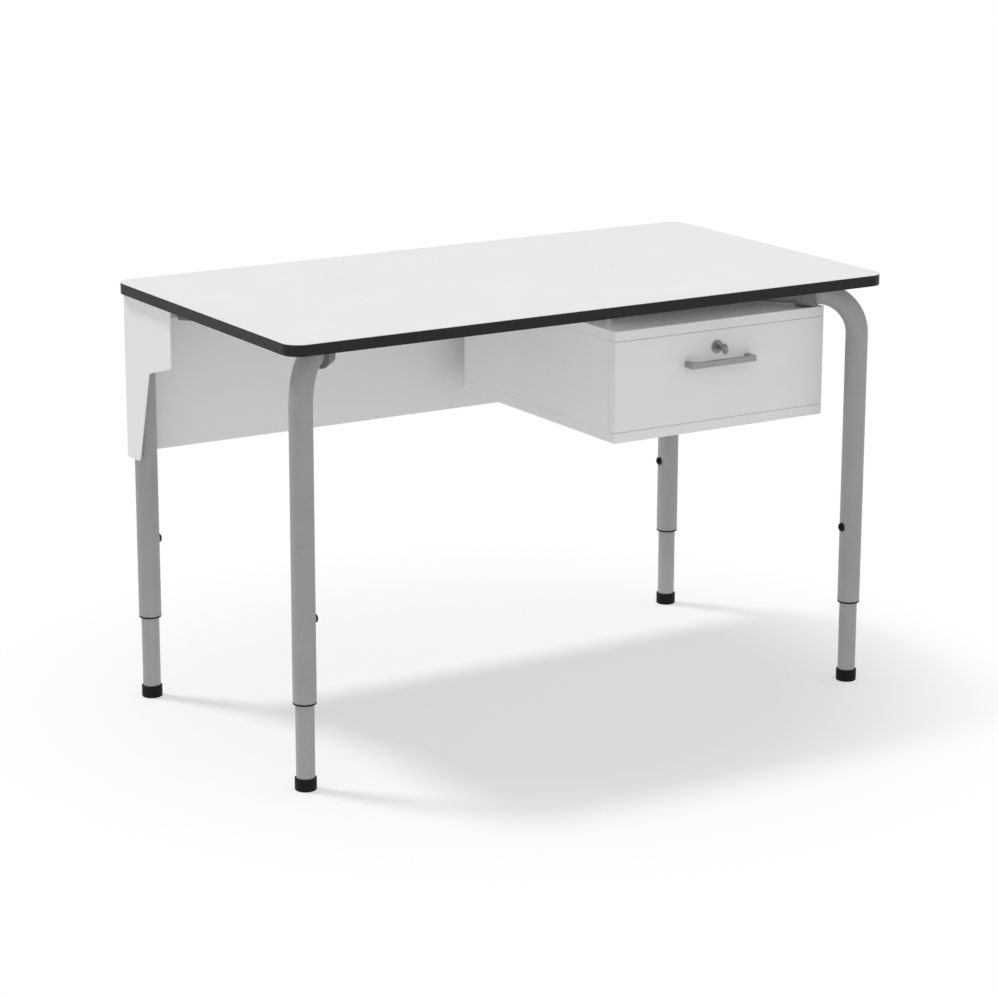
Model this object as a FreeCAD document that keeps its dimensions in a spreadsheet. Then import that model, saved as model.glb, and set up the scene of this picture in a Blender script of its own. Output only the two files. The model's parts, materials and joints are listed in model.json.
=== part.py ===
"""Teacher desk: a laminate desktop on four telescopic tube legs, with a sheet-metal modesty
panel and a lockable drawer cabinet hung below the right-hand end.

Millimetres. The origin is on the floor under the middle of the desktop. +X is to the right of
the person who sits at the desk, +Y points from that person to the modesty panel, +Z is up.
"""
import FreeCAD, Part
import math
import os
import re

import Sketcher

Vector = FreeCAD.Vector

# ---------------------------------------------------------------------------
# Driving dimensions. Each one is a cell of the sheet.
# ---------------------------------------------------------------------------
SIZES = {
    # desktop
    "desk_length": 1200,
    "desk_depth": 650,
    "desk_height": 760,
    "top_thickness": 20,
    "corner_radius": 30,
    "laminate": 0.8,
    "band": 2,
    "band_edge_radius": 0.8,
    # bent outer leg tubes and the beam that joins them
    "leg_inset": 35,
    "tube_radius": 20,
    "tube_wall": 2,
    "bend_radius": 70,
    "outer_tube_end": 153,
    "beam_size": 40,
    "beam_wall": 2,
    "beam_corner": 3,
    "beam_length": 660,
    "beam_screw_pitch": 240,
    "access_hole_radius": 8,
    "overcut": 10,
    "end_cap_plate": 3,
    "end_cap_plug": 12,
    # saddles that hold the arms up to the desktop
    "saddle_distance": 91.5,
    "saddle_width": 36,
    "saddle_cheek": 7.5,
    "saddle_floor": 2,
    "saddle_corner": 14,
    "saddle_ear": 41,
    "saddle_ear_thickness": 4,
    "saddle_hole": 34,
    # telescopic part of the legs
    "inner_radius": 16,
    "inner_wall": 2,
    "inner_top": 450,
    "sleeve_top": 330,
    "sleeve_flange": 3,
    "clamp_height": 293,
    "clamp_tip_gap": 0.15,
    "clamp_window_gap": 0.5,
    "boss_radius": 6.5,
    "boss_stand_out": 0.5,
    "foot_radius": 18.5,
    "foot_height": 22,
    "foot_base": 5,
    "foot_edge": 2,
    "foot_chamfer": 1,
    "foot_plug_top": 32,
    "foot_plug_bore": 11.5,
    # modesty panel
    "panel_setback": 10,
    "sheet": 2,
    "sheet_bend": 4,
    "panel_bottom": 450,
    "wing_bottom": 445,
    "wing_depth": 185,
    "wing_front_drop": 104,
    "wing_notch_depth": 97,
    "wing_notch_drop": 128,
    "wing_tip_depth": 52,
    "wing_corner": 10,
    "flange_width": 30,
    "wing_flange_width": 20,
    "wing_flange_length": 130,
    "wing_flange_gap": 10,
    "flange_screw_inset": 90,
    # drawer cabinet
    "cabinet_left": 75,
    "cabinet_setback": 81,
    "cabinet_width": 450,
    "cabinet_depth": 500,
    "cabinet_height": 198,
    "cabinet_drop": 44,
    "board": 18,
    "board_edge": 0.6,
    "back_board": 6,
    "back_inset": 12,
    "groove": 5,
    "confirmat_inset": 90,
    "hanger_inset": 45,
    "hanger_front": 89,
    "hanger_right": 405,
    "hanger_middle": 149,
    "hanger_pitch": 190,
    "hanger_sleeve_radius": 7,
    "hanger_sleeve_gap": 0.3,
    "insert_radius": 5.5,
    "insert_depth": 13,
    "insert_hole_depth": 14,
    # drawer
    "front_gap": 0.5,
    "side_gap": 0.5,
    "drawer_side": 15,
    "drawer_side_height": 117,
    "drawer_length": 440,
    "drawer_lift": 22,
    "drawer_bottom": 4,
    "drawer_bottom_lift": 8,
    "dowel_radius": 4,
    "dowel_length": 30,
    "dowel_chamfer": 0.8,
    "dowel_inset": 6,
    # roller runners
    "runner_room": 12.5,
    "runner_metal": 1.2,
    "runner_lift": 17,
    "runner_height": 30.2,
    "runner_flange": 10.5,
    "runner_front_gap": 2.5,
    "runner_length": 445,
    "rail_flange_bottom": 26.32,
    "rail_reach": 2.4,
    "rail_web_bottom": 5,
    "rail_web_top": 42,
    "rail_screw_height": 36,
    "roller_radius": 12.5,
    "rear_roller_radius": 12,
    "roller_width": 6,
    "roller_offset": 2.6,
    "roller_front": 15,
    "roller_rear": 19,
    "roller_chamfer": 0.6,
    "stud_radius": 2.5,
    "stud_head_radius": 4,
    "stud_head": 1,
    "stud_play": 0.1,
    "recess_radius": 4.5,
    "recess_depth": 1.2,
    # pull handle
    "pull_x": 291.5,
    "pull_height": 623,
    "pull_length": 139,
    "pull_stand_out": 24,
    "pull_bar": 8,
    "pull_section": 10,
    "pull_corner": 2.5,
    # cam lock
    "lock_x": 290.5,
    "lock_height": 647.5,
    "rosette_radius": 11.5,
    "rosette": 3,
    "rosette_edge": 1,
    "lock_radius": 9.5,
    "lock_length": 22.2,
    "lock_nut": 3.5,
    "lock_nut_radius": 12.7,
    "plug_radius": 7,
    "plug_proud": 1,
    "plug_stub_radius": 4,
    "plug_edge": 0.6,
    "plug_reach": 0.1,
    "cam_length": 24,
    "cam_radius": 7,
    "cam_tip": 5,
    "cam": 2,
    "key_blade": 4,
    "key": 2.2,
    "key_bow_radius": 9.5,
    "key_bow_distance": 24,
    "key_hole_radius": 2.6,
    "key_hole_distance": 27.8,
    "key_tip_gap": 1,
    "key_tip_slope": 3,
    "keyway_gap": 0.1,
    "keyway_depth": 15,
    "strike": 1.5,
    "strike_gap": 1.5,
    "strike_width": 40,
    "strike_drop": 14,
    "strike_foot": 25,
    "strike_screw": 15,
    # screws: shank radius, length under the head, head radius, head height
    "pan_shank": 2.4,
    "pan_length": 17,
    "pan_head": 4.8,
    "pan_head_height": 3,
    "small_shank": 1.7,
    "small_length": 13,
    "small_head": 3.5,
    "small_head_height": 1,
    "bolt_shank": 3,
    "bolt_length": 74,
    "bolt_head": 6,
    "bolt_head_height": 4,
    "confirmat_shank": 3.4,
    "confirmat_length": 46,
    "confirmat_head": 5,
    "confirmat_head_height": 2.5,
    "handle_screw_shank": 2,
    "handle_screw_length": 26,
    "handle_screw_head": 4.5,
    "handle_screw_head_height": 2.5,
    "clamp_shank": 3.95,
    "clamp_head": 7.8,
    "clamp_head_height": 3.6,
    "clamp_dome": 2.8,
    "clamp_socket": 2.9,
    "clamp_socket_depth": 2.5,
    "cam_screw_shank": 1.5,
    "cam_screw_length": 8,
    "cam_screw_head": 4.2,
    "cam_screw_head_height": 2,
    # shapes shared by the screw heads, as shares of the head's size
    "head_top_share": 0.7,
    "head_rim_share": 0.5,
    "socket_share": 0.42,
    "socket_depth_share": 0.6,
    # clearances
    "fit": 0.05,
    "running": 0.06,
}

# Places that follow from the driving dimensions, written as formulas of them.
DERIVED = {
    "half_length": "(desk_length / 2)",
    "half_depth": "(desk_depth / 2)",
    "underside": "(desk_height - top_thickness)",
    "leg_x": "(desk_length / 2 - leg_inset)",
    "leg_y": "(desk_depth / 2 - leg_inset)",
    "tube_axis": "(underside - tube_radius)",
    "saddle_x": "(leg_x - saddle_distance / sqrt(2))",
    "saddle_y": "(leg_y - saddle_distance / sqrt(2))",
    "ear_shift": "(saddle_hole / sqrt(2))",
    "panel_back": "(half_depth - panel_setback)",
    "panel_end": "(half_length - panel_setback)",
    "cabinet_right": "(cabinet_left + cabinet_width)",
    "cabinet_middle": "(cabinet_left + cabinet_width / 2)",
    "cabinet_front": "(cabinet_setback - half_depth)",
    "cabinet_back_face": "(cabinet_front + cabinet_depth)",
    "cabinet_top_face": "(underside - cabinet_drop)",
    "cabinet_bottom_face": "(cabinet_top_face - cabinet_height)",
    "inside_left": "(cabinet_left + board)",
    "inside_right": "(cabinet_right - board)",
    "ceiling": "(cabinet_top_face - board)",
    "cabinet_floor": "(cabinet_bottom_face + board)",
    "front_inner": "(cabinet_front + board)",
    "drawer_left": "(inside_left + runner_room)",
    "drawer_width": "(cabinet_width - 2 * board - 2 * runner_room)",
    "drawer_base": "(cabinet_floor + drawer_lift)",
    "drawer_rear": "(front_inner + drawer_length)",
    "drawer_floor": "(drawer_base + drawer_bottom_lift)",
    "runner_base": "(cabinet_floor + runner_lift)",
    "runner_start": "(front_inner + side_gap + runner_front_gap)",
    "runner_end": "(runner_start + runner_length)",
    "roller_axis": "(runner_base + runner_metal + running + roller_radius)",
    "rear_roller_axis": "(runner_base + runner_metal + running + rear_roller_radius)",
    "roller_y": "(runner_start + roller_front)",
    "rear_roller_y": "(drawer_rear - roller_rear)",
    "pull_post_x": "(pull_length / 2 - pull_section / 2)",
}

# Places of repeated fasteners, as shares of the length of the piece that they sit in.
WING_SHARES = (0.3, 0.85)
RUNNER_SHARES = (0.2, 0.5, 0.85)
RAIL_SHARES = (0.15, 0.5, 0.85)
DOWEL_SHARES = (0.4, 0.85)
# The key's cuts: distance along the blade and depth.
KEY_CUTS = ((0, 0), (2, 1.5), (4, 0), (7, 2.5), (8.5, 1))
# Lengths and volumes below this count as none.
TINY = 0.01

WORD = re.compile(r"[a-z_]+")


def formula(text):
    """An expression for the document: derived places written out, sizes read from the sheet."""
    expanded = None
    while expanded != text:
        expanded = text
        text = WORD.sub(lambda word: DERIVED.get(word.group(), word.group()), expanded)
    return WORD.sub(lambda word: "Sizes." + word.group() if word.group() in SIZES else word.group(), text)


doc = FreeCAD.newDocument("teacher_desk")
sheet = doc.addObject("Spreadsheet::Sheet", "Sizes")
for row, (alias, value) in enumerate(SIZES.items(), start=1):
    sheet.set(f"A{row}", alias.replace("_", " "))
    sheet.set(f"B{row}", str(value))
    sheet.setAlias(f"B{row}", alias)
doc.recompute()

NODES = []
# Turns that point an object's own +Z axis along each direction of the desk.
TURN = {
    "+z": (Vector(1, 0, 0), 0),
    "-z": (Vector(1, 0, 0), 180),
    "+x": (Vector(0, 1, 0), 90),
    "-x": (Vector(0, 1, 0), -90),
    "+y": (Vector(1, 0, 0), -90),
    "-y": (Vector(1, 0, 0), 90),
}
# Signs of X and Y for each leg.
LEGS = {
    "front_left": (-1, -1),
    "front_right": (1, -1),
    "rear_left": (-1, 1),
    "rear_right": (1, 1),
}


# ---------------------------------------------------------------------------
# Helpers
# ---------------------------------------------------------------------------
def number(text):
    """The value that a formula has now."""
    return float(sheet.evalExpression(formula(text)))


def place(thing, at, turn=(Vector(0, 0, 1), 0)):
    """Binds an object's position to three formulas and turns it."""
    thing.Placement = FreeCAD.Placement(Vector(), FreeCAD.Rotation(*turn))
    for axis, text in zip("xyz", at):
        thing.setExpression(f"Placement.Base.{axis}", formula(text))
    return thing


def node(thing, label):
    """Names an object as one of the desk's pieces."""
    thing.Label = label
    NODES.append(thing)
    return thing


def new_body(name):
    return doc.addObject("PartDesign::Body", name)


def sketch_on(body, role, offset="0"):
    """A sketch on one of the body's own origin planes, shifted along the plane's normal."""
    sketch = body.newObject("Sketcher::SketchObject", "Sketch")
    plane = next(feature for feature in body.Origin.OriginFeatures if feature.Role == role)
    sketch.AttachmentSupport = [(plane, "")]
    sketch.MapMode = "FlatFace"
    sketch.setExpression("AttachmentOffset.Base.z", formula(offset))
    return sketch


def pin(sketch, kind, geometry, point, text):
    """Ties one coordinate of a sketch point to a formula."""
    index = sketch.addConstraint(Sketcher.Constraint(kind, geometry, point, number(text)))
    sketch.setExpression(f"Constraints[{index}]", formula(text))


def draw_circle(sketch, x, y, radius):
    circle = Part.Circle(Vector(number(x), number(y), 0), Vector(0, 0, 1), number(radius))
    index = sketch.addGeometry(circle)
    pin(sketch, "DistanceX", index, 3, x)
    pin(sketch, "DistanceY", index, 3, y)
    constraint = sketch.addConstraint(Sketcher.Constraint("Radius", index, number(radius)))
    sketch.setExpression(f"Constraints[{constraint}]", formula(radius))


def draw_segment(sketch, start, end):
    """A line from start to end, or an arc when start carries a centre and a turning sense."""
    first = Vector(number(start[0]), number(start[1]), 0)
    last = Vector(number(end[0]), number(end[1]), 0)
    if len(start) == 2:
        return sketch.addGeometry(Part.LineSegment(first, last)), 1, 2
    centre = Vector(number(start[2]), number(start[3]), 0)
    counter_clockwise = start[4]
    ends = (first, last) if counter_clockwise else (last, first)
    angles = [math.atan2(point.y - centre.y, point.x - centre.x) for point in ends]
    circle = Part.Circle(centre, Vector(0, 0, 1), (first - centre).Length)
    index = sketch.addGeometry(Part.ArcOfCircle(circle, *angles))
    level_chord = abs(first.y - last.y) < TINY
    if level_chord:
        pin(sketch, "DistanceY", index, 3, start[3])
    else:
        pin(sketch, "DistanceX", index, 3, start[2])
    return (index, 1, 2) if counter_clockwise else (index, 2, 1)


def draw_outline(sketch, corners, closed=True):
    """Lines and arcs through the corners, each corner tied to its formulas."""
    following = corners[1:] + corners[:1] if closed else corners[1:]
    segments = [draw_segment(sketch, start, end) for start, end in zip(corners, following)]
    for corner, (index, begin, _) in zip(corners, segments):
        pin(sketch, "DistanceX", index, begin, corner[0])
        pin(sketch, "DistanceY", index, begin, corner[1])
    for before, after in zip(segments, segments[1:]):
        sketch.addConstraint(Sketcher.Constraint("Coincident", before[0], before[2], after[0], after[1]))
    last_index, _, last_point = segments[-1]
    if closed:
        first_index, first_point, _ = segments[0]
        sketch.addConstraint(
            Sketcher.Constraint("Coincident", last_index, last_point, first_index, first_point)
        )
    else:
        pin(sketch, "DistanceX", last_index, last_point, corners[-1][0])
        pin(sketch, "DistanceY", last_index, last_point, corners[-1][1])
    return sketch


def rounded(left, front, right, back, radius):
    """Corners of a rectangle with round corners, counter-clockwise."""
    return [
        (f"{left} + {radius}", front),
        (f"{right} - {radius}", front, f"{right} - {radius}", f"{front} + {radius}", True),
        (right, f"{front} + {radius}"),
        (right, f"{back} - {radius}", f"{right} - {radius}", f"{back} - {radius}", True),
        (f"{right} - {radius}", back),
        (f"{left} + {radius}", back, f"{left} + {radius}", f"{back} - {radius}", True),
        (left, f"{back} - {radius}"),
        (left, f"{front} + {radius}", f"{left} + {radius}", f"{front} + {radius}", True),
    ]


def hexagon(radius):
    """Corners of a hexagon about the sketch origin, radius to the corners."""
    half, high = f"{radius} / 2", f"{radius} * sqrt(3) / 2"
    return [
        (radius, "0"),
        (half, high),
        (f"-({half})", high),
        (f"-({radius})", "0"),
        (f"-({half})", f"-({high})"),
        (half, f"-({high})"),
    ]


def pad(body, sketch, length):
    feature = body.newObject("PartDesign::Pad", "Pad")
    feature.Profile = sketch
    feature.setExpression("Length", formula(length))
    return feature


def pocket(body, sketch, length, reverse=False):
    """A pocket that must remove material."""
    doc.recompute()
    before = body.Shape.Volume
    feature = body.newObject("PartDesign::Pocket", "Pocket")
    feature.Profile = sketch
    feature.setExpression("Length", formula(length))
    feature.Reversed = reverse
    doc.recompute()
    if body.Shape.Volume > before - TINY:
        raise RuntimeError(f"a pocket of {body.Label} cuts nothing")
    return feature


def round_edges(body, radius, chosen):
    """Fillets the edges of the body's last feature that a test picks."""
    doc.recompute()
    base = body.Tip
    names = [f"Edge{index}" for index, edge in enumerate(base.Shape.Edges, start=1) if chosen(edge)]
    if not names:
        raise RuntimeError(f"no edge of {body.Label} to round")
    feature = body.newObject("PartDesign::Fillet", "Fillet")
    feature.Base = (base, names)
    feature.setExpression("Radius", formula(radius))
    doc.recompute()
    return feature


def turned(name, corners):
    """A body of revolution about its own Z axis, from corners given as radius and height."""
    body = new_body(name)
    sketch = draw_outline(sketch_on(body, "XZ_Plane"), corners)
    feature = body.newObject("PartDesign::Revolution", "Revolution")
    feature.Profile = sketch
    feature.ReferenceAxis = (sketch, ["V_Axis"])
    feature.Angle = 360
    return body


def tube(name, outer, inner, low, high):
    return turned(name, [(inner, low), (outer, low), (outer, high), (inner, high)])


def round_space(name, radius, low, high):
    """A plain round space about the Z axis."""
    return turned(name, [("0", low), (radius, low), (radius, high), ("0", high)])


def rectangle(left, front, right, back):
    return [(left, front), (right, front), (right, back), (left, back)]


def board(name, at, size):
    """A board whose edges are all slightly rounded."""
    body = new_body(name)
    length, width, height = size
    pad(body, draw_outline(sketch_on(body, "XY_Plane"), rectangle("0", "0", length, width)), height)
    round_edges(body, "board_edge", lambda edge: True)
    return place(body, at)


def box(name, at, size):
    thing = doc.addObject("Part::Box", name)
    for side, text in zip(("Length", "Width", "Height"), size):
        thing.setExpression(side, formula(text))
    return place(thing, at)


def rod(name, radius, length, at, direction):
    thing = doc.addObject("Part::Cylinder", name)
    thing.setExpression("Radius", formula(radius))
    thing.setExpression("Height", formula(length))
    return place(thing, at, TURN[direction])


def group(name, things):
    thing = doc.addObject("Part::Compound", name)
    thing.Links = things
    return thing


def fuse(name, things):
    thing = doc.addObject("Part::MultiFuse", name)
    thing.Shapes = things
    return thing


def cut(name, base, tools):
    thing = doc.addObject("Part::Cut", name)
    thing.Base = base
    thing.Tool = tools[0] if len(tools) == 1 else group(name + "_spaces", tools)
    return thing


def mirror(name, source):
    """The same piece on the other side of the cabinet's middle."""
    thing = doc.addObject("Part::Mirroring", name)
    thing.Source = source
    thing.Normal = Vector(1, 0, 0)
    thing.setExpression("Base.x", formula("cabinet_middle"))
    return thing


def copy_at(master, at, turn):
    link = doc.addObject("App::Link", master.Name + "_copy")
    link.LinkedObject = master
    return place(link, at, turn)


def spread(name, master, spots):
    """Copies of one piece. A spot is a position and a direction or a turn about Z in degrees."""
    copies = []
    for x, y, z, way in spots:
        turn = TURN[way] if way in TURN else (Vector(0, 0, 1), way)
        copies.append(copy_at(master, (x, y, z), turn))
    return group(name, copies)


def screw(kind):
    """A screw that drives along +Z from the underside of its head, and the space that it needs."""
    shank, length = f"{kind}_shank", f"{kind}_length"
    head, height = f"{kind}_head", f"{kind}_head_height"
    solid = turned(kind + "_screw", [
        ("0", f"-{height}"),
        (f"{head} * head_top_share", f"-{height}"),
        (head, f"-{height} * head_rim_share"),
        (head, "0"),
        (shank, "0"),
        (shank, f"{length} - {shank}"),
        ("0", length),
    ])
    socket = draw_outline(sketch_on(solid, "XY_Plane", f"-{height}"), hexagon(f"{head} * socket_share"))
    pocket(solid, socket, f"{height} * socket_depth_share", reverse=True)
    space = turned(kind + "_space", [
        ("0", f"-{height} - fit"),
        (f"{head} + fit", f"-{height} - fit"),
        (f"{head} + fit", "fit"),
        (f"{shank} + fit", "fit"),
        (f"{shank} + fit", f"{length} + fit"),
        ("0", f"{length} + fit"),
    ])
    return solid, space


def signed(sign, text):
    return text if sign > 0 else f"-({text})"


# ---------------------------------------------------------------------------
# Fastener places
# ---------------------------------------------------------------------------
pan_screw, pan_space = screw("pan")
small_screw, small_space = screw("small")
bolt, bolt_space = screw("bolt")
confirmat, confirmat_space = screw("confirmat")
handle_screw, handle_screw_space = screw("handle_screw")
cam_screw, cam_screw_space = screw("cam_screw")

SADDLE_SCREWS = [
    (
        signed(right, f"saddle_x + {side} * ear_shift"),
        signed(back, f"saddle_y - {side} * ear_shift"),
        "underside - saddle_ear_thickness",
        "+z",
    )
    for right, back in LEGS.values()
    for side in (1, -1)
]
BEAM_SCREWS = [
    (f"{step} * beam_screw_pitch", "0", "underside - beam_wall", "+z")
    for step in (-1, 0, 1)
]
FLANGE_SCREWS = [
    (
        f"{step} * (panel_end - flange_screw_inset) / 2",
        "panel_back - sheet - flange_width / 2",
        "underside - sheet",
        "+z",
    )
    for step in (-2, -1, 0, 1, 2)
]
WING_SCREWS = [
    (
        f"{side} * (panel_end - sheet - wing_flange_width / 2)",
        f"panel_back - wing_depth + wing_flange_length * {share}",
        "underside - sheet",
        "+z",
    )
    for side in (-1, 1)
    for share in WING_SHARES
]
HANGERS = [
    ("cabinet_left + hanger_inset", "cabinet_front + hanger_front"),
    ("cabinet_left + hanger_inset", "cabinet_back_face - hanger_front"),
    ("cabinet_left + hanger_right", "cabinet_front + hanger_middle"),
    ("cabinet_left + hanger_right", "cabinet_front + hanger_middle + hanger_pitch"),
]
CONFIRMATS = [
    (x, y, z, way)
    for z, way in (
        ("cabinet_top_face - confirmat_head_height", "-z"),
        ("cabinet_bottom_face + confirmat_head_height", "+z"),
    )
    for x in ("cabinet_left + board / 2", "cabinet_right - board / 2")
    for y in ("cabinet_front + confirmat_inset", "cabinet_back_face - confirmat_inset")
]
RUNNER_SCREWS = [
    (x, f"cabinet_front + {share} * cabinet_depth", "runner_base + runner_height / 2", way)
    for x, way in (("inside_left + runner_metal", "-x"), ("inside_right - runner_metal", "+x"))
    for share in RUNNER_SHARES
]
STRIKE_SCREWS = [
    (
        f"lock_x + {side} * strike_width / 4",
        "front_inner + strike_gap + strike_screw",
        "ceiling - strike",
        "+z",
    )
    for side in (-1, 1)
]
RAIL_SCREWS = [
    (x, f"front_inner + {share} * drawer_length", "runner_base + rail_screw_height", way)
    for x, way in (
        ("drawer_left - runner_metal", "+x"),
        ("drawer_left + drawer_width + runner_metal", "-x"),
    )
    for share in RAIL_SHARES
]
BOTTOM_SCREWS = [
    (f"cabinet_middle + {step} * drawer_width / 3", "drawer_rear - drawer_side / 2", "drawer_floor", "+z")
    for step in (-1, 0, 1)
]
HANDLE_SCREWS = [
    (f"pull_x + {side} * pull_post_x", "front_inner", "pull_height", "-y") for side in (-1, 1)
]
DOWELS = [
    (x, "front_inner - dowel_length / 3", f"drawer_base + {share} * drawer_side_height", "+y")
    for x in ("drawer_left + drawer_side / 2", "drawer_left + drawer_width - drawer_side / 2")
    for share in DOWEL_SHARES
] + [
    (x, "drawer_rear - drawer_side / 2", f"drawer_base + {share} * drawer_side_height", way)
    for x, way in (
        ("drawer_left + dowel_inset", "+x"),
        ("drawer_left + drawer_width - dowel_inset", "-x"),
    )
    for share in DOWEL_SHARES
]


# ---------------------------------------------------------------------------
# Desktop: particle core, laminates and an edge band
# ---------------------------------------------------------------------------
def slab(name, inset, low, thickness):
    """A plate with the desktop's outline, set in from its edges."""
    body = new_body(name)
    corners = rounded(
        f"-half_length + {inset}",
        f"-half_depth + {inset}",
        f"half_length - {inset}",
        f"half_depth - {inset}",
        f"(corner_radius - {inset})",
    )
    pad(body, draw_outline(sketch_on(body, "XY_Plane", low), corners), thickness)
    return body


def build_desktop():
    under_screws = [
        spread("saddle_screw_spaces", pan_space, SADDLE_SCREWS),
        spread("beam_screw_spaces", pan_space, BEAM_SCREWS),
        spread("panel_screw_spaces", pan_space, FLANGE_SCREWS + WING_SCREWS),
    ]
    insert_hole = round_space("insert_hole", "insert_radius + fit", "-overcut", "insert_hole_depth")
    insert_holes = spread("insert_holes", insert_hole, [(x, y, "underside", "+z") for x, y in HANGERS])
    core = slab("core", "band", "underside + laminate", "top_thickness - 2 * laminate")
    node(cut("drilled_core", core, under_screws + [insert_holes]), "desktop_core")
    backing = slab("backing", "band", "underside", "laminate")
    node(cut("drilled_backing", backing, under_screws + [insert_holes]), "desktop_backing_laminate")
    node(slab("top_sheet", "0", "desk_height - laminate", "laminate"), "desktop_top_laminate")
    band = slab("edge_band", "0", "underside", "top_thickness - laminate")
    inside = rounded(
        "-half_length + band",
        "-half_depth + band",
        "half_length - band",
        "half_depth - band",
        "(corner_radius - band)",
    )
    ring = draw_outline(sketch_on(band, "XY_Plane", "underside"), inside)
    pocket(band, ring, "top_thickness", reverse=True)
    low, end = number("underside"), number("half_length")
    # The fillet starts at the lower edge of one end and runs on round the tangent corners.
    round_edges(
        band,
        "band_edge_radius",
        lambda edge: edge.BoundBox.ZMax < low + TINY and edge.BoundBox.XMin > end - TINY,
    )
    node(band, "desktop_edge_band")
    insert = tube("insert", "insert_radius", "bolt_shank + fit", "0", "insert_depth")
    node(
        spread("inserts", insert, [(x, y, "underside", "+z") for x, y in HANGERS]),
        "desktop_threaded_inserts",
    )


# ---------------------------------------------------------------------------
# Leg frame: bent tubes, beam, saddles
# ---------------------------------------------------------------------------
def heading(right, back):
    """The direction, in degrees about Z, in which a leg's arm runs towards the beam."""
    return math.degrees(math.atan2(-back, -right))


def build_bent_tubes(boss_space):
    """Each leg tube rises, bends through 90 degrees and runs under the desktop to the beam."""
    bent = new_body("bent_tube")
    ring = sketch_on(bent, "XY_Plane", "outer_tube_end")
    draw_circle(ring, "0", "0", "tube_radius")
    draw_circle(ring, "0", "0", "tube_radius - tube_wall")
    path = draw_outline(
        sketch_on(bent, "XZ_Plane"),
        [
            ("0", "outer_tube_end"),
            ("0", "tube_axis - bend_radius", "bend_radius", "tube_axis - bend_radius", False),
            ("bend_radius", "tube_axis"),
            ("leg_y * sqrt(2)", "tube_axis"),
        ],
        closed=False,
    )
    doc.recompute()
    pipe = bent.newObject("PartDesign::AdditivePipe", "Pipe")
    pipe.Profile = ring
    pipe.Spine = (path, [f"Edge{index}" for index in range(1, len(path.Shape.Edges) + 1)])
    beam_room = box(
        "beam_room",
        ("-beam_length", "-beam_size / 2", "tube_axis - beam_size"),
        ("2 * beam_length", "beam_size", "2 * beam_size"),
    )
    for name, (right, back) in LEGS.items():
        spot = (signed(right, "leg_x"), signed(back, "leg_y"), "0")
        tube_copy = copy_at(bent, spot, (Vector(0, 0, 1), heading(right, back)))
        inwards = TURN["-x" if right > 0 else "+x"]
        boss_hole = copy_at(boss_space, (spot[0], spot[1], "clamp_height"), inwards)
        node(cut("leg_" + name, tube_copy, [beam_room, boss_hole]), "leg_tube_" + name)


def build_beam():
    """The square beam that the four arms are welded to."""
    half = "beam_size / 2"
    beam = new_body("beam")
    skin = draw_outline(
        sketch_on(beam, "YZ_Plane", "-beam_length / 2"),
        rounded(f"-{half}", "tube_axis - beam_size / 2", half, "tube_axis + beam_size / 2", "beam_corner"),
    )
    pad(beam, skin, "beam_length")
    bore = draw_outline(
        sketch_on(beam, "YZ_Plane", "-beam_length / 2"),
        rounded(
            f"-{half} + beam_wall",
            "tube_axis - beam_size / 2 + beam_wall",
            f"{half} - beam_wall",
            "tube_axis + beam_size / 2 - beam_wall",
            "(beam_corner - beam_wall)",
        ),
    )
    pocket(beam, bore, "beam_length", reverse=True)
    below = "tube_axis - beam_size / 2 - overcut"
    access = [
        rod("access", "access_hole_radius", "2 * overcut", (x, y, below), "+z")
        for x, y, _, _ in BEAM_SCREWS
    ]
    screws = spread("beam_screw_holes", pan_space, BEAM_SCREWS)
    node(cut("drilled_beam", beam, access + [screws]), "centre_beam")
    node(spread("beam_screw_set", pan_screw, BEAM_SCREWS), "beam_screws")
    cap = new_body("end_cap")
    plate = draw_outline(
        sketch_on(cap, "YZ_Plane"), rounded(f"-{half}", f"-{half}", half, half, "beam_corner")
    )
    pad(cap, plate, "end_cap_plate")
    room = "(beam_size / 2 - beam_wall - fit)"
    plug = draw_outline(
        sketch_on(cap, "YZ_Plane", "-end_cap_plug"),
        rounded(f"-{room}", f"-{room}", room, room, "(beam_corner - beam_wall)"),
    )
    pad(cap, plug, "end_cap_plug")
    ends = [("beam_length / 2", "0", "tube_axis", 0), ("-beam_length / 2", "0", "tube_axis", 180)]
    node(spread("end_caps", cap, ends), "beam_end_caps")


def build_saddles():
    """Blocks with a channel for the arm, and ears that are screwed to the desktop."""
    inner = "(tube_radius + fit)"
    side = "(tube_radius + saddle_cheek)"
    low = "(underside - 2 * tube_radius - saddle_floor)"
    ear_low = "underside - saddle_ear_thickness"
    saddle = new_body("saddle")
    corners = [
        ("-saddle_ear", "underside"),
        ("-saddle_ear", ear_low),
        (f"-{side}", ear_low),
        (f"-{side}", f"{low} + saddle_corner", f"saddle_corner - {side}", f"{low} + saddle_corner", True),
        (f"saddle_corner - {side}", low),
        (f"{side} - saddle_corner", low, f"{side} - saddle_corner", f"{low} + saddle_corner", True),
        (side, f"{low} + saddle_corner"),
        (side, ear_low),
        ("saddle_ear", ear_low),
        ("saddle_ear", "underside"),
        (inner, "underside"),
        (inner, "tube_axis", "0", "tube_axis", False),
        (f"-{inner}", "tube_axis"),
        (f"-{inner}", "underside"),
    ]
    pad(saddle, draw_outline(sketch_on(saddle, "YZ_Plane", "-saddle_width / 2"), corners), "saddle_width")
    holes = spread(
        "ear_holes", pan_space, [("0", f"{end} * saddle_hole", ear_low, "+z") for end in (-1, 1)]
    )
    drilled = cut("drilled_saddle", saddle, [holes])
    spots = [
        (signed(right, "saddle_x"), signed(back, "saddle_y"), "0", heading(right, back))
        for right, back in LEGS.values()
    ]
    node(spread("saddles", drilled, spots), "arm_saddles")
    node(spread("saddle_screw_set", pan_screw, SADDLE_SCREWS), "saddle_screws")


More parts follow.
